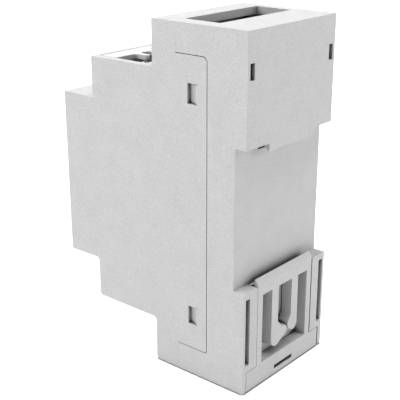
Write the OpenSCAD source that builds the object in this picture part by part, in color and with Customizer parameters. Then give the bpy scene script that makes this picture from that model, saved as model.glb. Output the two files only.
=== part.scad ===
// Snap-together enclosure, two modules wide, for a 35 mm mounting rail.
// +X runs along the rail, +Y points back to the rail and +Z is up.
// The origin is at the middle of the overall footprint, at the height of the foot.
// A depth is a distance in front of the back faces, so it runs towards -Y.

/* [Body] */
// Width along the rail: two modules of 17.5 mm
body_w = 35; // [34:0.5:37]
// Height from the foot to the top
body_h = 90; // [89:0.5:93]
// Depth of the nose's front
nose_d = 60.3; // [58:0.1:64]
// Depth of the middle steps' fronts
step_d = 49.6; // [47:0.1:52]
// Depth of the end blocks' fronts
block_d = 28.6; // [27:0.1:30]
// Height of the lower step's underside
step_z0 = 12.25; // [11.5:0.05:13.5]
// Distance from the top down to the upper step
step_down = 11.4; // [10.5:0.1:12.5]
// Height of the nose's underside
nose_z0 = 23.3; // [22.5:0.1:24.5]
// Distance from the top down to the nose
nose_down = 22; // [21:0.1:23]
// Radius of the lower side's corners
corner_r = 1.1; // [0.6:0.1:1.6]

/* [Shells] */
// Thickness of the outer walls
wall = 2; // [1.6:0.1:2.4]
// Depth at which the base ends and the cover begins
parting_d = 21.2; // [20:0.1:22]
// Depth of the seam behind the cover's side flaps
seam_d = 11.6; // [11:0.1:12.5]
// Height of the seam below the flaps
seam_z0 = 7.55; // [7:0.05:9]
// Distance from the top down to the seam above the flaps
seam_down = 7.15; // [6.5:0.05:8]
// Width of the seam round the flaps
seam_w = 0.15; // [0.1:0.01:0.3]
// Thickness of the flaps
flap_t = 1.1; // [0.9:0.1:1.2]
// Radius of the flaps' upper rear corners
flap_r = 1.3; // [0.8:0.1:2]

/* [Side latches] */
// Depth of the latch windows' rear edge
latch_d = 14.7; // [14:0.1:15.5]
// Length of a latch window along the depth
latch_win = 2.8; // [2.4:0.1:3.2]
// Height of a latch window
latch_h = 4.9; // [4:0.1:5.5]
// Height of the lower latch window's lower edge
latch_z0 = 14.25; // [13:0.05:15.5]
// Distance from the top down to the upper latch window's lower edge
latch_down = 18.7; // [18:0.1:20]
// Length of a latch tooth along the depth
tooth_len = 1.6; // [1.2:0.1:2]

/* [Rail side] */
// Height of the rail channel's lower edge
rail_z0 = 27.4; // [27:0.1:28]
// Height of the rail channel's upper edge
rail_z1 = 63; // [62.6:0.1:63.6]
// Depth of the rail channel's wall
rail_d = 3.25; // [2.8:0.05:3.6]
// Half width of the fixed hook
hook_x = 8.8; // [7:0.1:10]
// How far the fixed hook hangs over the rail's flange
hook_drop = 2; // [1.5:0.1:2.4]
// Thickness of the fixed hook
hook_t = 1.5; // [1.2:0.1:1.7]
// Height of the slope under the hook
hook_rise = 1.1; // [0.8:0.1:1.4]
// Skin left outside the slots in the back faces
slot_skin = 0.85; // [0.8:0.05:1.2]
// Width of the slots in the back faces
slot_w = 1.65; // [1.3:0.05:1.8]
// Depth of the slots in the back faces
slot_deep = 9; // [6:0.1:9.5]
// Lower and upper ends of the lower slots
low_slot_z = [7.6, 25.6];
// Distances from the top down to the lower and upper ends of the upper slots
high_slot_down = [11.15, 7.3];

/* [Openings] */
// Reach of the wire windows in the top and bottom, to the -X side
window_right = 14.8; // [13:0.1:15]
// Reach of the wire windows to the +X side, which leaves a wider rim
window_left = 13; // [12:0.1:14.5]
// Depth of the wire windows' rear edge
window_d = 11.4; // [11:0.1:13]
// How far the wire windows cut into the cover
window_notch = 0.9; // [0.5:0.1:1.5]
// Rim left beside the terminal openings in the steps
port_rim = 2.1; // [2.1:0.1:2.8]
// Material left behind the terminal openings
port_rear = 4; // [3:0.1:5]
// Material left in front of the terminal openings
port_front = 1.2; // [1:0.1:1.5]
// Number of wires at each terminal opening
wires = 5; // [4:1:6]
// Distance from one wire to the next
wire_pitch = 5; // [4.6:0.1:5.1]
// Diameter of the screw access holes in the steps' fronts
access_dia = 3.4; // [3:0.1:3.8]

/* [Terminal guards] */
// Thickness of a guard's plate
guard_t = 1.2; // [1:0.1:1.5]
// Depth of the guard's solid strip, from its front edge
guard_strip = 5.2; // [4.4:0.1:6]
// Length of the guard's fingers behind the strip
finger_len = 4; // [3:0.1:6]
// Width of a finger
finger_w = 1.6; // [1.4:0.1:2.2]
// Clearance round a guard
guard_fit = 0.3; // [0.15:0.05:0.35]

/* [Front panel] */
// Margin of the nose left round the front panel
panel_rim = 2.1; // [1.8:0.1:2.5]
// Thickness of the front panel
panel_t = 1.5; // [1.2:0.1:2]
// Width of the ledge behind the front panel
panel_ledge = 2; // [1.6:0.1:2.4]
// Clearance round the front panel
panel_fit = 0.1; // [0.05:0.05:0.2]

/* [Rail clip] */
// Half width of the channel that guides the clip
guide_x = 11.9; // [11.5:0.1:12.2]
// Half width of the recess for the clip's foot
foot_x = 16.05; // [15.7:0.05:16.2]
// Height of the top of the recess for the foot
foot_top = 5.7; // [5.5:0.1:6.2]
// Thickness of the clip
clip_t = 3; // [2.6:0.1:3.05]
// Gap between the clip and each side of its channel
clip_play = 0.25; // [0.15:0.05:0.35]
// How far the clip lies to one side in that gap
clip_shift = 0.15; // [0:0.05:0.15]
// Gap between the foot's shoulders and the recess above them
stop_gap = 0.1; // [0.05:0.05:0.3]
// Height of the foot's underside above the ground
foot_lift = 0.1; // [0.05:0.05:0.6]
// How far the clip pulls down to free the rail
clip_travel = 3.5; // [3:0.1:4]
// Height of the clip's lip above the channel's lower edge
lip_h = 1.9; // [1.6:0.1:2.1]
// Thickness of the clip's lip
lip_t = 1.2; // [1:0.1:1.4]
// Half width of the clip's window
win_x = 9.6; // [9.2:0.1:9.8]
// Lower and upper edges of the clip's window
win_z = [5.9, 24.7];
// Inner and outer faces of a spring arm, from the middle
arm_x = [2.85, 5.65];
// Height of the short arm's lowest point
arm_low = 9.85; // [9.3:0.05:11]
// How much lower the long arm reaches
arm_more = 1.65; // [1:0.05:2]
// Width, height and lower edge of the screwdriver slot
tool_slot = [7.9, 1.05, 1.55];
// How far the guide tongues reach into the clip's edges
tongue = 0.75; // [0.5:0.05:0.85]
// Thickness of the guide tongues
tongue_t = 0.7; // [0.5:0.05:0.8]
// Clearance round the guide tongues
tongue_fit = 0.15; // [0.1:0.01:0.17]

/* [Hidden] */
$fn = 64;
half_w = body_w / 2;
step_z1 = body_h - step_down;
nose_z1 = body_h - nose_down;
seam_z1 = body_h - seam_down;
latch_z1 = body_h - latch_down;
high_slot_z = [body_h - high_slot_down[0], body_h - high_slot_down[1]];
cavity_x = half_w - wall;
flap_x = half_w - flap_t;
// Reach of a cut past the face that it starts from
past = 1;
// How far an added piece is sunk into the wall that carries it
sink = 0.2;
// Small corner radius at the flaps' lower rear corners
flap_low_r = 0.5;
// Gap between a latch tooth and its window, above and below
latch_fit = 0.2;
// How far a tooth's crest stays below the flap's outer face, and its length
crest_drop = 0.1;
crest_len = 0.3;
// Depths of the rear of the base's rooms, behind the rail and in the upper block
room_d = rail_d + wall;
// Slots in the back faces, and the room between webs beside the upper ones
slot_x = [half_w - slot_skin - slot_w, half_w - slot_skin];
room_web = 1.2;
upper_room_x = slot_x[0] - room_web;
// Size of the ribs that hold a circuit board, and the depths at which they start
board_rib = [1, 1];
board_rib_d = [7.2, 10];
board_rib_end = 6;
// Wall behind the front panel
panel_seat = 1.5;
port_x = half_w - port_rim;
port_d = [block_d + port_rear, step_d - port_front];
guard_x = port_x - guard_fit;
guard_front = port_d[1] - guard_fit;
// Ledges that carry a guard: width, thickness and length
ledge = [1.2, 1.5, 4.4];
// Legs that hold a guard: thickness, barb, barb's length, gap to the ledge and inset from its ends
leg = [1.2, 0.7, 1.1, 0.2, 0.6];
panel_x = half_w - panel_rim;
panel_z = [nose_z0 + panel_rim, nose_z1 - panel_rim];
// Snaps of the front panel: half width, thickness, barb, barb's length and distance from the middle
snap = [1.5, 1.2, 0.5, 1.2, 8];
// Play behind a barb
barb_play = 0.1;
clip_x = guide_x - clip_play;
clip_foot_x = foot_x - clip_play;
shoulder_z = foot_top - stop_gap;
// Depth and height span of the guide tongues
tongue_d = lip_t + tongue_fit;
tongue_z = [foot_top + 1.3, rail_z0 - clip_travel - 0.5];
// Rises of the clip lip's slope from its rear edge, and the small flat at its crest
lip_rise = 0.4;
lip_flat = 0.2;
// Short arm's free end: round tip, bulge on its inner side, and rise from there to where it swells
tip_r = 1.7;
tip = [arm_x[1] - tip_r, arm_low + tip_r];
knob_r = 1.75;
knob = [3.25, tip[1] + 0.55];
swell_rise = 2.6;
// Long arm's free end: round heel, and the toe that reaches under the knob
heel_r = 2.15;
heel = [arm_x[1] - heel_r, arm_low - arm_more + heel_r];
toe_r = 1.45;
toe = [0.2, arm_low + 1.35];
toe_rise = 3.7;
// Share of a circle's radius at which a straight flank leaves it
flank = 0.97;
grey = [0.8, 0.8, 0.79];

// Place of a depth along Y
function at(d) = nose_d / 2 - d;

// Stepped side outline of the cover in depth and height, moved in by t, and by front at the nose
function steps(t, front, rear) = [
    [rear, t], [block_d - t, t], [block_d - t, step_z0 + t], [step_d - t, step_z0 + t],
    [step_d - t, nose_z0 + t], [nose_d - front, nose_z0 + t], [nose_d - front, nose_z1 - t],
    [step_d - t, nose_z1 - t], [step_d - t, step_z1 - t], [block_d - t, step_z1 - t],
    [block_d - t, body_h - t], [rear, body_h - t]
];

// Box between two places across, two depths and two heights
module box(x, d, z) {
    translate([x[0], at(d[1]), z[0]])
        cube([x[1] - x[0], d[1] - d[0], z[1] - z[0]]);
}

// Box with equal reach to both sides of the middle
module mid_box(x, d, z) box([-x, x], d, z);

module both_sides() {
    children();
    mirror([1, 0, 0]) children();
}

// Outline in depth and height, carried across between two places
module slab(x) {
    translate([x[1], at(0), 0]) rotate([90, 0, -90])
        linear_extrude(height = x[1] - x[0]) children();
}

// Outline in width and height, carried forward between two depths
module plate(d) {
    translate([0, at(d[0]), 0]) rotate([90, 0, 0])
        linear_extrude(height = d[1] - d[0]) children();
}

// Outline in width and depth, carried up between two heights
module column(z) {
    translate([0, at(0), z[0]]) mirror([0, 1, 0])
        linear_extrude(height = z[1] - z[0]) children();
}

// What lies between a square corner at p and its arc, towards the signs u and v
module spandrel(p, u, v, r) {
    difference() {
        translate([min(p[0], p[0] + u * r), min(p[1], p[1] + v * r)]) square(r);
        translate([p[0] + u * r, p[1] + v * r]) circle(r);
    }
}

// Outline of a flap, moved in by t from the seam's middle line
module flap_outline(t, front) {
    difference() {
        translate([seam_d + t, seam_z0 + t]) square([front - seam_d - t, seam_z1 - seam_z0 - 2 * t]);
        spandrel([seam_d + t, seam_z1 - t], 1, -1, flap_r);
        spandrel([seam_d + t, seam_z0 + t], 1, 1, flap_low_r);
    }
}

// Base

// Fixed hook over the rail's upper flange, with a sloped lead-in
module hook() {
    low = rail_z1 - hook_drop;
    slab([-hook_x, hook_x])
        polygon([[0, low], [hook_t, low + hook_rise], [hook_t, rail_z1 + sink], [0, rail_z1 + sink]]);
}

// Opening through the rail wall, as wide and as high as the hook in front of which it lies
module hook_core() {
    mid_box(hook_x, [rail_d - past, room_d + past], [rail_z1 - hook_drop, rail_z1]);
}

// Latch tooth: flush at its locking face, and sloped down towards the front
module tooth(z) {
    column([z + latch_fit, z + latch_h - latch_fit])
        polygon([[cavity_x + sink, latch_d], [half_w - crest_drop, latch_d],
                 [half_w - crest_drop, latch_d + crest_len], [flap_x, latch_d + tooth_len],
                 [cavity_x + sink, latch_d + tooth_len]]);
}

// Wire window through the top or the bottom wall
module wire_window(z, d) box([-window_right, window_left], d, [z - wall - past, z + wall + past]);

module clip_recess() {
    mid_box(guide_x, [-past, rail_d], [foot_top - past, rail_z0 + past]);
    mid_box(foot_x, [-past, rail_d], [-past, foot_top]);
}

module board_ribs() {
    for (d = board_rib_d)
        both_sides()
            box([cavity_x - board_rib[0], cavity_x + sink], [d, d + board_rib[1]],
                [board_rib_end, body_h - board_rib_end]);
}

module base_shell() {
    color(grey) {
        difference() {
            mid_box(half_w, [0, parting_d], [0, body_h]);
            mid_box(half_w + past, [-past, rail_d], [rail_z0, rail_z1]);
            mid_box(cavity_x, [room_d, parting_d + past], [wall, body_h - wall]);
            mid_box(upper_room_x, [wall, room_d + past], [rail_z1 + wall, body_h - wall]);
            both_sides() slab([flap_x, half_w + past]) flap_outline(-seam_w / 2, parting_d + past);
            both_sides() box(slot_x, [-past, slot_deep], low_slot_z);
            both_sides() box(slot_x, [-past, slot_deep], high_slot_z);
            hook_core();
            wire_window(0, [window_d, parting_d + past]);
            wire_window(body_h, [window_d, parting_d + past]);
            clip_recess();
        }
        hook();
        both_sides() tooth(latch_z0);
        both_sides() tooth(latch_z1);
        both_sides() box([guide_x - tongue, guide_x + sink], [tongue_d, tongue_d + tongue_t], tongue_z);
        board_ribs();
    }
}

// Cover

module cover_outline() {
    difference() {
        union() {
            polygon(steps(0, 0, parting_d));
            spandrel([block_d, step_z0], 1, -1, corner_r);
            spandrel([step_d, nose_z0], 1, -1, corner_r);
        }
        spandrel([block_d, 0], -1, 1, corner_r);
        spandrel([step_d, step_z0], -1, 1, corner_r);
    }
}

module flap() {
    slab([flap_x, half_w]) flap_outline(seam_w / 2, parting_d + sink);
}

module latch_window(z) {
    box([flap_x - past, half_w + past], [latch_d, latch_d + latch_win], [z, z + latch_h]);
}

// Opening in a step with its face at height 0, its rebate for the guard and the row of screw holes
module port() {
    mid_box(port_x, port_d, [-guard_t, past]);
    mid_box(port_x, [port_d[0], step_d - wall], [-wall - past, past]);
}

// Ledges beside a port, with the step's face at height 0
module port_ledges() {
    both_sides()
        box([cavity_x - ledge[0], cavity_x + sink], [step_d - wall - ledge[2], step_d - wall + sink],
            [-guard_t - ledge[1], -guard_t]);
}

// Screw access holes through a step's front at height z
module access_row(z) {
    for (i = [0 : wires - 1])
        translate([(i - (wires - 1) / 2) * wire_pitch, at(step_d + past), z]) rotate([-90, 0, 0])
            cylinder(h = wall + 2 * past, d = access_dia);
}

// Places its children at the upper step's top and, upside down, at the lower step's underside
module at_upper_step() translate([0, 0, step_z1]) children();

module at_lower_step() translate([0, 0, step_z0]) mirror([0, 0, 1]) children();

module panel_hole() {
    fit = panel_fit;
    mid_box(panel_x + fit, [nose_d - panel_t, nose_d + past], [panel_z[0] - fit, panel_z[1] + fit]);
    mid_box(panel_x - panel_ledge, [nose_d - panel_t - panel_seat - past, nose_d],
            [panel_z[0] + panel_ledge, panel_z[1] - panel_ledge]);
}

module cover_shell() {
    color(grey)
        difference() {
            union() {
                difference() {
                    slab([-half_w, half_w]) cover_outline();
                    slab([-cavity_x, cavity_x])
                        polygon(steps(wall, panel_t + panel_seat, parting_d - past));
                }
                both_sides() flap();
                at_upper_step() port_ledges();
                at_lower_step() port_ledges();
            }
            both_sides() latch_window(latch_z0);
            both_sides() latch_window(latch_z1);
            wire_window(0, [parting_d - past, parting_d + window_notch]);
            wire_window(body_h, [parting_d - past, parting_d + window_notch]);
            at_upper_step() port();
            at_lower_step() port();
            access_row((nose_z1 + step_z1) / 2);
            access_row((nose_z0 + step_z0) / 2);
            panel_hole();
        }
}

// Front panel

module panel_snap() {
    z = panel_z[1] - panel_ledge - barb_play;
    root_d = nose_d - panel_t + sink;
    d = nose_d - panel_t - panel_seat;
    slab([snap[4] - snap[0], snap[4] + snap[0]])
        polygon([[root_d, z], [d, z], [d - barb_play, z + snap[2]], [d - snap[3], z],
                 [d - snap[3], z - snap[1]], [root_d, z - snap[1]]]);
}

module front_panel() {
    mid_z = (nose_z0 + nose_z1) / 2;
    color(grey) {
        mid_box(panel_x, [nose_d - panel_t, nose_d], panel_z);
        both_sides() panel_snap();
        both_sides() translate([0, 0, mid_z]) mirror([0, 0, 1]) translate([0, 0, -mid_z]) panel_snap();
    }
}

// Terminal guards

// Comb with its upper face at height 0: a strip, and a finger between each pair of wires
module guard_comb() {
    strip_d = guard_front - guard_strip;
    notch_r = (wire_pitch - finger_w) / 2;
    mid_box(guard_x, [strip_d, guard_front], [-guard_t, 0]);
    column([-guard_t, 0])
        for (i = [1 : wires - 1])
            translate([(i - wires / 2) * wire_pitch, 0]) {
                translate([-finger_w / 2, strip_d - finger_len + finger_w / 2])
                    square([finger_w, finger_len]);
                translate([0, strip_d - finger_len + finger_w / 2]) circle(finger_w / 2);
                for (u = [-1, 1])
                    spandrel([u * finger_w / 2, strip_d], u, -1, min(notch_r, 1));
            }
}

// Leg with a barb that reaches under a ledge
module guard_leg() {
    x = cavity_x - ledge[0] - leg[3];
    low = -guard_t - ledge[1] - barb_play;
    front = step_d - wall - leg[4];
    plate([front - ledge[2] + 2 * leg[4], front])
        polygon([[x - leg[0], sink - guard_t], [x, sink - guard_t], [x, low],
                 [x + leg[1], low - barb_play], [x, low - leg[2]], [x - leg[0], low - leg[2]]]);
}

module guard() {
    color(grey) {
        guard_comb();
        both_sides() guard_leg();
    }
}

module terminal_guard_upper() at_upper_step() guard();

module terminal_guard_lower() at_lower_step() guard();

// Rail clip

// Straight part of a spring arm, down to a height
module arm_bar(low) {
    translate([arm_x[0], low]) square([arm_x[1] - arm_x[0], win_z[1] - low + sink]);
}

// Two circles, and what lies between two flanks just inside their outer tangents
module belt(a, ra, b, rb) {
    turn = atan2(b[1] - a[1], b[0] - a[0]);
    lean = acos((ra - rb) / norm(b - a));
    translate(a) circle(ra);
    translate(b) circle(rb);
    polygon([for (c = [[a, ra, 1], [a, ra, -1], [b, rb, -1], [b, rb, 1]])
        c[0] + flank * c[1] * [cos(turn + c[2] * lean), sin(turn + c[2] * lean)]]);
}

// Short arm, with a knob that bulges inwards at its free end
module knob_arm() {
    arm_bar(tip[1]);
    belt(tip, tip_r, knob, knob_r);
    polygon([[arm_x[0], knob[1] + swell_rise], knob + flank * knob_r * [-cos(30), sin(30)], knob,
             [arm_x[0] + sink, knob[1] + swell_rise]]);
}

// Long arm, with a foot whose toe reaches under the other arm's knob
module foot_arm() {
    arm_bar(heel[1]);
    belt(heel, heel_r, toe, toe_r);
    polygon([toe, toe + flank * toe_r * [cos(60), sin(60)], [arm_x[0], toe[1] + toe_rise],
             [arm_x[0] + sink, toe[1] + toe_rise], [arm_x[0] + sink, toe[1]]]);
}

module clip_outline() {
    difference() {
        union() {
            translate([-clip_x, shoulder_z - past]) square([2 * clip_x, rail_z0 - shoulder_z + past]);
            translate([-clip_foot_x, foot_lift]) square([2 * clip_foot_x, shoulder_z - foot_lift]);
        }
        translate([-win_x, win_z[0]]) square([2 * win_x, win_z[1] - win_z[0]]);
        translate([-tool_slot[0] / 2, tool_slot[2]]) square([tool_slot[0], tool_slot[1]]);
    }
    foot_arm();
    mirror([1, 0]) knob_arm();
}

// Lip over the rail's lower flange, sloped behind so that the rail pushes it down
module clip_lip() {
    slab([-clip_x, clip_x])
        polygon([[0, rail_z0 - sink], [0, rail_z0 + lip_rise], [lip_t - lip_flat, rail_z0 + lip_h],
                 [lip_t, rail_z0 + lip_h - lip_flat], [lip_t, rail_z0 - sink]]);
}

module rail_clip() {
    groove_x = guide_x - tongue - tongue_fit;
    groove_d = [tongue_d - tongue_fit, tongue_d + tongue_t + tongue_fit];
    color(grey)
        difference() {
            translate([clip_shift, 0, 0]) {
                plate([0, clip_t]) clip_outline();
                clip_lip();
            }
            both_sides() box([groove_x, guide_x + past], groove_d, [shoulder_z, rail_z0 + past]);
        }
}

base_shell();
cover_shell();
front_panel();
terminal_guard_upper();
terminal_guard_lower();
rail_clip();
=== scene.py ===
"""Looks of the rail enclosure: moulded plastic, softened edges, studio and camera."""

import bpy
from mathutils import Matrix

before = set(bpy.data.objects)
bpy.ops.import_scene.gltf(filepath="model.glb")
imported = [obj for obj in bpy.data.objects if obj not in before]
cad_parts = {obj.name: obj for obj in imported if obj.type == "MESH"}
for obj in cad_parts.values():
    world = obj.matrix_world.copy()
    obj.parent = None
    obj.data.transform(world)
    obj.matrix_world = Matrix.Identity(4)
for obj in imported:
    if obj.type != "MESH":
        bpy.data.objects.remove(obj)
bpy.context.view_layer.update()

import logging
import math
from dataclasses import dataclass
from enum import Enum

import bpy
from mathutils import Vector

LOG = logging.getLogger("scene")
MM = 0.001
WHITE = (1.0, 1.0, 1.0, 1.0)
# How much broader a cloud in the colour is than a grain, its share, and how far the two vary
CLOUD_SPAN = 16
CLOUD_SHARE = 0.25
NOISE_REACH = 0.3
# Detail of the grain and of the clouds, and how rough both noises are
GRAIN_DETAIL = 2.0
CLOUD_DETAIL = 3.0
NOISE_ROUGHNESS = 0.55
# Band of the grain that the roughness follows, and how far it moves the roughness
GLOSS_BAND = (0.3, 0.7)
GLOSS_PLAY = 0.06
# Optical values of the plastic
PLASTIC_IOR = 1.5
PLASTIC_SPECULAR = 0.35
# Rays by which a material finds how closed in a spot is, for its painted shade
SHADE_RAYS = 16
# Reach of the painted contact shadow, a dark line on the floor at the foot of the part, and the open
# shares between which it fades out
CONTACT_SHADOW_REACH = 1.3 * MM
CONTACT_SHADOW_OPEN = (0.5, 0.8)
# Distance within which corners of a mesh are one, and the angle below which faces are one
WELD_REACH = 0.0005 * MM
FLAT_ANGLE = math.radians(0.5)
# Gap between the foot and the floor, and the height that the lamps point at
FLOOR_DROP = 0.02 * MM
LAMP_AIM = Vector((0.0, 0.0, 0.045))
# Nearest distance that the camera sees
NEAREST = 0.01


class Grain(Enum):
    """How a moulded surface is textured: the depth of its relief as a share of a grain's size."""

    SPARK = 0.5
    FINE = 0.25


def add_range(
    tree: bpy.types.NodeTree,
    value: bpy.types.NodeSocket,
    start: tuple[float, float],
    end: tuple[float, float],
) -> bpy.types.NodeSocket:
    """Adds a node that maps one range of a value to another.

    Args:
        tree: Node tree of the material.
        value: Socket that gives the value.
        start: Lower and upper end of the range that is read.
        end: Values that those two ends become.

    Returns:
        The socket with the mapped value.
    """
    node = tree.nodes.new("ShaderNodeMapRange")
    node.inputs["From Min"].default_value, node.inputs["From Max"].default_value = start
    node.inputs["To Min"].default_value, node.inputs["To Max"].default_value = end
    tree.links.new(value, node.inputs["Value"])
    return node.outputs["Result"]


def add_open_share(tree: bpy.types.NodeTree, reach: float) -> bpy.types.NodeSocket:
    """Adds a node that gives the open share of a spot's surroundings.

    Args:
        tree: Node tree of the material.
        reach: Distance over which other surfaces count, in metres.

    Returns:
        The socket with the share, from 0 to 1.
    """
    node = tree.nodes.new("ShaderNodeAmbientOcclusion")
    node.samples = SHADE_RAYS
    node.inputs["Distance"].default_value = reach
    return node.outputs["AO"]


@dataclass(frozen=True)
class PaintedRecessShade:
    """Painted shade that darkens a moulded wall's colour in narrow places.

    Args:
        reach: Distance over which facing walls count, in metres.
        closed: Open share of the surroundings below which the shade is full.
        open: Open share above which there is no shade.
        darkest: Factor of the colour in full shade.
    """

    reach: float
    closed: float
    open: float
    darkest: float


@dataclass(frozen=True)
class Plastic:
    """Finish of one moulded plastic.

    Args:
        name: Name of the material.
        colour: Base colour, linear red, green and blue.
        roughness: Middle roughness of the surface.
        grain: Kind of surface texture.
        grain_size: Size of one grain, in metres.
        grain_height: Strength of the grain's bump, from 0 to 1.
        mottle: How much the colour varies over the surface, from 0 to 1.
        painted_shade: Painted shade in its narrow places, which darkens its colour there.
    """

    name: str
    colour: tuple[float, float, float]
    roughness: float
    grain: Grain
    grain_size: float
    grain_height: float
    mottle: float
    painted_shade: PaintedRecessShade

    def build(self) -> bpy.types.Material:
        """Makes the node material.

        Returns:
            The finished material.
        """
        material = bpy.data.materials.new(self.name)
        material.use_nodes = True
        tree = material.node_tree
        shader = tree.nodes["Principled BSDF"]
        place = tree.nodes.new("ShaderNodeTexCoord").outputs["Object"]
        grains = self._noise(tree, place, 1 / self.grain_size, GRAIN_DETAIL)
        clouds = self._noise(tree, place, 1 / (self.grain_size * CLOUD_SPAN), CLOUD_DETAIL)
        # Painted shade: the colour is darkened where other surfaces close the spot in, standing in for
        # light that fails to reach slots and hollows.
        shade = self._painted_shade_factor(tree)
        colour = self._scale(tree, self._tint(tree, grains, clouds), shade)
        tree.links.new(colour, shader.inputs["Base Color"])
        self._gloss(tree, shader, grains)
        self._bump(tree, shader, grains)
        return material

    def _noise(
        self, tree: bpy.types.NodeTree, place: bpy.types.NodeSocket, scale: float, detail: float
    ) -> bpy.types.NodeSocket:
        """Adds a noise over the surface.

        Args:
            tree: Node tree of the material.
            place: Socket that gives the place on the piece.
            scale: Grains to a metre.
            detail: Octaves of the noise.

        Returns:
            The socket with the noise's value.
        """
        noise = tree.nodes.new("ShaderNodeTexNoise")
        noise.inputs["Scale"].default_value = scale
        noise.inputs["Detail"].default_value = detail
        noise.inputs["Roughness"].default_value = NOISE_ROUGHNESS
        tree.links.new(place, noise.inputs["Vector"])
        return noise.outputs["Fac"]

    def _scale(
        self,
        tree: bpy.types.NodeTree,
        colour: bpy.types.NodeSocket | tuple[float, float, float],
        factor: bpy.types.NodeSocket,
    ) -> bpy.types.NodeSocket:
        """Multiplies a colour by a factor.

        Args:
            tree: Node tree of the material.
            colour: Socket that gives the colour, or the colour itself.
            factor: Socket that gives the factor.

        Returns:
            The socket with the scaled colour.
        """
        node = tree.nodes.new("ShaderNodeVectorMath")
        node.operation = "SCALE"
        if isinstance(colour, tuple):
            node.inputs[0].default_value = colour
        else:
            tree.links.new(colour, node.inputs[0])
        tree.links.new(factor, node.inputs["Scale"])
        return node.outputs["Vector"]

    def _tint(
        self, tree: bpy.types.NodeTree, grains: bpy.types.NodeSocket, clouds: bpy.types.NodeSocket
    ) -> bpy.types.NodeSocket:
        """Varies the colour a little in broad clouds and from grain to grain.

        Args:
            tree: Node tree of the material.
            grains: Socket with the fine noise.
            clouds: Socket with the broad noise.

        Returns:
            The socket with the varied colour.
        """
        both = tree.nodes.new("ShaderNodeMath")
        both.operation = "MULTIPLY_ADD"
        tree.links.new(clouds, both.inputs[0])
        both.inputs[1].default_value = CLOUD_SHARE
        tree.links.new(grains, both.inputs[2])
        middle = (1 + CLOUD_SHARE) / 2
        band = (middle - NOISE_REACH, middle + NOISE_REACH)
        spread = add_range(tree, both.outputs[0], band, (1 - self.mottle, 1 + self.mottle))
        return self._scale(tree, self.colour, spread)

    def _painted_shade_factor(self, tree: bpy.types.NodeTree) -> bpy.types.NodeSocket:
        """Finds how much of the colour is left in slots and other narrow places, where it is darkened as
        painted shade.

        Args:
            tree: Node tree of the material.

        Returns:
            The socket with the factor.
        """
        share = add_open_share(tree, self.painted_shade.reach)
        return add_range(tree, share, (self.painted_shade.closed, self.painted_shade.open), (self.painted_shade.darkest, 1.0))

    def _gloss(
        self, tree: bpy.types.NodeTree, shader: bpy.types.ShaderNode, grains: bpy.types.NodeSocket
    ) -> None:
        """Lets the roughness follow the grain.

        Args:
            tree: Node tree of the material.
            shader: Surface shader of the material.
            grains: Socket with the fine noise.
        """
        ends = (self.roughness - GLOSS_PLAY, self.roughness + GLOSS_PLAY)
        tree.links.new(add_range(tree, grains, GLOSS_BAND, ends), shader.inputs["Roughness"])
        shader.inputs["IOR"].default_value = PLASTIC_IOR
        shader.inputs["Specular IOR Level"].default_value = PLASTIC_SPECULAR

    def _bump(
        self, tree: bpy.types.NodeTree, shader: bpy.types.ShaderNode, grains: bpy.types.NodeSocket
    ) -> None:
        """Adds the relief of the mould's texture.

        Args:
            tree: Node tree of the material.
            shader: Surface shader of the material.
            grains: Socket with the fine noise.
        """
        bump = tree.nodes.new("ShaderNodeBump")
        bump.inputs["Strength"].default_value = self.grain_height
        bump.inputs["Distance"].default_value = self.grain_size * self.grain.value
        tree.links.new(grains, bump.inputs["Height"])
        tree.links.new(bump.outputs["Normal"], shader.inputs["Normal"])


@dataclass(frozen=True)
class MatteFloor:
    """Finish of the studio floor, a lit white sheet with a painted contact shadow.

    Args:
        brightness: Reflectance of the sheet.
        glow: Strength of the light that it gives by itself.
    """

    brightness: float
    glow: float

    def build(self) -> bpy.types.Material:
        """Makes a plain white material that glows evenly, but for a painted contact shadow at the foot
        of what stands on it.

        Returns:
            The finished material.
        """
        material = bpy.data.materials.new("studio_sheet")
        material.use_nodes = True
        shader = material.node_tree.nodes["Principled BSDF"]
        shader.inputs["Roughness"].default_value = 1.0
        shader.inputs["Specular IOR Level"].default_value = 0.0
        shader.inputs["Emission Strength"].default_value = self.glow
        self._paint_contact_shadow(material.node_tree, shader)
        return material

    def _paint_contact_shadow(self, tree: bpy.types.NodeTree, shader: bpy.types.ShaderNode) -> None:
        """Paints a contact shadow: darkens the sheet and its glow in a narrow band round the foot of
        what stands on it.

        Args:
            tree: Node tree of the material.
            shader: Surface shader of the material.
        """
        share = add_open_share(tree, CONTACT_SHADOW_REACH)
        for name, full in (("Base Color", self.brightness), ("Emission Color", 1.0)):
            tree.links.new(add_range(tree, share, CONTACT_SHADOW_OPEN, (0.0, full)), shader.inputs[name])


GREY = (0.36, 0.36, 0.36)
PALE_GREY = (0.45, 0.45, 0.45)
# Painted shade of each plastic: its colour is darkened where facing walls within 4 mm (slots) or 9 mm
# (cavities) close a spot in.
SLOT_PAINTED_SHADE = PaintedRecessShade(4.0 * MM, 0.25, 0.5, 0.15)
CAVITY_PAINTED_SHADE = PaintedRecessShade(9.0 * MM, 0.25, 0.5, 0.15)
BASE_PLASTIC = Plastic("base_plastic", GREY, 0.66, Grain.SPARK, 0.32 * MM, 0.4, 0.16, SLOT_PAINTED_SHADE)
COVER_PLASTIC = Plastic("cover_plastic", GREY, 0.66, Grain.SPARK, 0.32 * MM, 0.4, 0.16, CAVITY_PAINTED_SHADE)
CLIP_PLASTIC = Plastic("clip_plastic", GREY, 0.6, Grain.FINE, 0.28 * MM, 0.3, 0.16, SLOT_PAINTED_SHADE)
GUARD_PLASTIC = Plastic("guard_plastic", PALE_GREY, 0.6, Grain.FINE, 0.28 * MM, 0.3, 0.2, CAVITY_PAINTED_SHADE)


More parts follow.
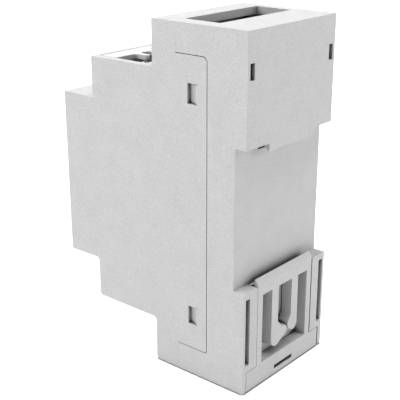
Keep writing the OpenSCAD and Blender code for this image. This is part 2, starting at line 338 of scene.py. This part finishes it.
@dataclass(frozen=True)
class SoftEdge:
    """Rounding of a moulded piece's edges.

    Args:
        width: Width of the rounding, in metres.
        segments: Number of faces across it.
        angle: Smallest angle of an edge that is rounded, in degrees.
    """

    width: float = 0.06 * MM
    segments: int = 2
    angle: float = 30.0

    def apply(self, piece: bpy.types.Object) -> None:
        """Adds the modifiers that round the edges.

        Args:
            piece: Object whose edges are rounded.
        """
        weld = piece.modifiers.new("weld", "WELD")
        weld.merge_threshold = WELD_REACH
        flat = piece.modifiers.new("flat_faces", "DECIMATE")
        flat.decimate_type = "DISSOLVE"
        flat.angle_limit = FLAT_ANGLE
        bevel = piece.modifiers.new("soft_edges", "BEVEL")
        bevel.width = self.width
        bevel.segments = self.segments
        bevel.limit_method = "ANGLE"
        bevel.angle_limit = math.radians(self.angle)
        bevel.use_clamp_overlap = True
        bevel.harden_normals = False
        smooth = piece.modifiers.new("even_normals", "WEIGHTED_NORMAL")
        smooth.keep_sharp = False


@dataclass
class MouldedPart:
    """What the moulded sub-assemblies share: solids of the frame in plastic, with soft edges.

    Args:
        edge: Rounding of the edges.
    """

    edge: SoftEdge = SoftEdge()

    def _dress(self, nodes: tuple[str, ...], finish: Plastic) -> None:
        """Gives nodes one plastic and soft edges.

        Args:
            nodes: Names of the nodes.
            finish: Plastic that they are moulded in.
        """
        material = finish.build()
        for name in nodes:
            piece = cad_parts[name]
            piece.data.materials.clear()
            piece.data.materials.append(material)
            for face in piece.data.polygons:
                face.material_index = 0
            self.edge.apply(piece)
            LOG.info("%s: %s in %s", type(self).__name__, name, finish.name)


@dataclass
class Housing(MouldedPart):
    """Base, cover and front panel.

    Args:
        base_finish: Plastic of the base.
        cover_finish: Plastic of the cover and the front panel.
    """

    base_finish: Plastic = BASE_PLASTIC
    cover_finish: Plastic = COVER_PLASTIC

    def dress(self) -> None:
        """Gives the base, the cover and the front panel their looks."""
        self._dress(("base_shell",), self.base_finish)
        self._dress(("cover_shell", "front_panel"), self.cover_finish)


@dataclass
class TerminalGuards(MouldedPart):
    """The two combs in the steps' openings.

    Args:
        finish: Plastic of both.
    """

    finish: Plastic = GUARD_PLASTIC

    def dress(self) -> None:
        """Gives the guards their looks."""
        self._dress(("terminal_guard_upper", "terminal_guard_lower"), self.finish)


@dataclass
class RailClip(MouldedPart):
    """The sliding clip at the foot.

    Args:
        finish: Plastic of the clip.
    """

    finish: Plastic = CLIP_PLASTIC

    def dress(self) -> None:
        """Gives the clip its looks."""
        self._dress(("rail_clip",), self.finish)


@dataclass(frozen=True)
class Lamp:
    """One square soft lamp that points at the object's middle.

    Args:
        name: Name of the lamp.
        place: Where it hangs, in metres.
        size: Length of its side, in metres.
        power: Its power, in watts.
    """

    name: str
    place: tuple[float, float, float]
    size: float
    power: float

    def hang(self) -> None:
        """Adds the lamp to the scene."""
        data = bpy.data.lights.new(self.name, "AREA")
        data.shape = "SQUARE"
        data.size = self.size
        data.energy = self.power
        lamp = bpy.data.objects.new(self.name, data)
        lamp.location = self.place
        lamp.rotation_euler = (LAMP_AIM - lamp.location).to_track_quat("-Z", "Y").to_euler()
        bpy.context.scene.collection.objects.link(lamp)


LAMPS = (
    Lamp("overhead", (0.0, 0.0, 0.9), 0.8, 14.2),
    Lamp("front", (0.0, -0.6, 0.8), 0.6, 5.2),
    Lamp("side", (0.8, -0.4, 0.45), 0.5, 6.85),
    Lamp("back", (-0.6, 0.7, 0.3), 0.6, 5.85),
)


@dataclass
class Studio:
    """Pale floor and soft light round the object.

    Args:
        floor: Finish of the floor.
        sky: Strength of the even light from all round.
        reach: Half the size of the floor, in metres.
        lamps: Lamps over and round the object.
    """

    floor: MatteFloor = MatteFloor(0.42, 0.97)
    sky: float = 0.05
    reach: float = 6.0
    lamps: tuple[Lamp, ...] = LAMPS

    def build(self) -> None:
        """Makes the floor, the even light and the lamps."""
        self._make_floor()
        self._make_sky()
        for lamp in self.lamps:
            lamp.hang()
        LOG.info("Studio: floor, sky and %d lamps", len(self.lamps))

    def _make_floor(self) -> None:
        """Lays the floor just below the foot."""
        reach = self.reach
        mesh = bpy.data.meshes.new("studio_floor")
        corners = [(-reach, -reach, 0), (reach, -reach, 0), (reach, reach, 0), (-reach, reach, 0)]
        mesh.from_pydata(corners, [], [(0, 1, 2, 3)])
        mesh.materials.append(self.floor.build())
        floor = bpy.data.objects.new("studio_floor", mesh)
        floor.location.z = -FLOOR_DROP
        bpy.context.scene.collection.objects.link(floor)

    def _make_sky(self) -> None:
        """Sets the even light, and a pale backdrop that is seen but gives no light."""
        world = bpy.data.worlds.new("studio_sky")
        world.use_nodes = True
        nodes, links = world.node_tree.nodes, world.node_tree.links
        light = nodes["Background"]
        light.inputs["Strength"].default_value = self.sky
        backdrop = nodes.new("ShaderNodeBackground")
        choice = nodes.new("ShaderNodeMixShader")
        links.new(nodes.new("ShaderNodeLightPath").outputs["Is Camera Ray"], choice.inputs[0])
        for slot, background in enumerate((light, backdrop), start=1):
            background.inputs["Color"].default_value = WHITE
            links.new(background.outputs[0], choice.inputs[slot])
        links.new(choice.outputs[0], nodes["World Output"].inputs["Surface"])
        bpy.context.scene.world = world


@dataclass
class Viewpoint:
    """Camera round a target.

    Args:
        target: Point that the camera looks at, in metres.
        azimuth: Angle round the object, in degrees.
        elevation: Angle above the horizon, in degrees.
        distance: Distance from the target, in metres.
        lens: Focal length on a 36 mm sensor, in millimetres.
    """

    target: tuple[float, float, float] = (-0.05 * MM, 1.68 * MM, 40.05 * MM)
    azimuth: float = 130.14
    elevation: float = 19.92
    distance: float = 237.95 * MM
    lens: float = 80.51

    def build(self) -> None:
        """Makes the camera and hands it to the scene."""
        turn, lift = math.radians(self.azimuth), math.radians(self.elevation)
        level = math.cos(lift)
        back = Vector((math.sin(turn) * level, -math.cos(turn) * level, math.sin(lift)))
        data = bpy.data.cameras.new("camera")
        data.lens = self.lens
        data.clip_start = NEAREST
        camera = bpy.data.objects.new("camera", data)
        camera.rotation_mode = "QUATERNION"
        camera.location = Vector(self.target) + back * self.distance
        camera.rotation_quaternion = (-back).to_track_quat("-Z", "Y")
        bpy.context.scene.collection.objects.link(camera)
        bpy.context.scene.camera = camera
        LOG.info("Viewpoint: azimuth %.2f, elevation %.2f", self.azimuth, self.elevation)


def clear_defaults() -> None:
    """Removes the objects that a new file starts with."""
    for name in ("Cube", "Light", "Camera"):
        stray = bpy.data.objects.get(name)
        if stray is not None:
            bpy.data.objects.remove(stray)


def main() -> None:
    """Builds the whole scene, piece by piece."""
    logging.basicConfig(level=logging.INFO, format="%(message)s")
    clear_defaults()
    bpy.context.scene.view_settings.view_transform = "Standard"
    Viewpoint().build()
    Studio().build()
    for sub_assembly in (Housing(), TerminalGuards(), RailClip()):
        sub_assembly.dress()


if __name__ == "__main__":
    main()
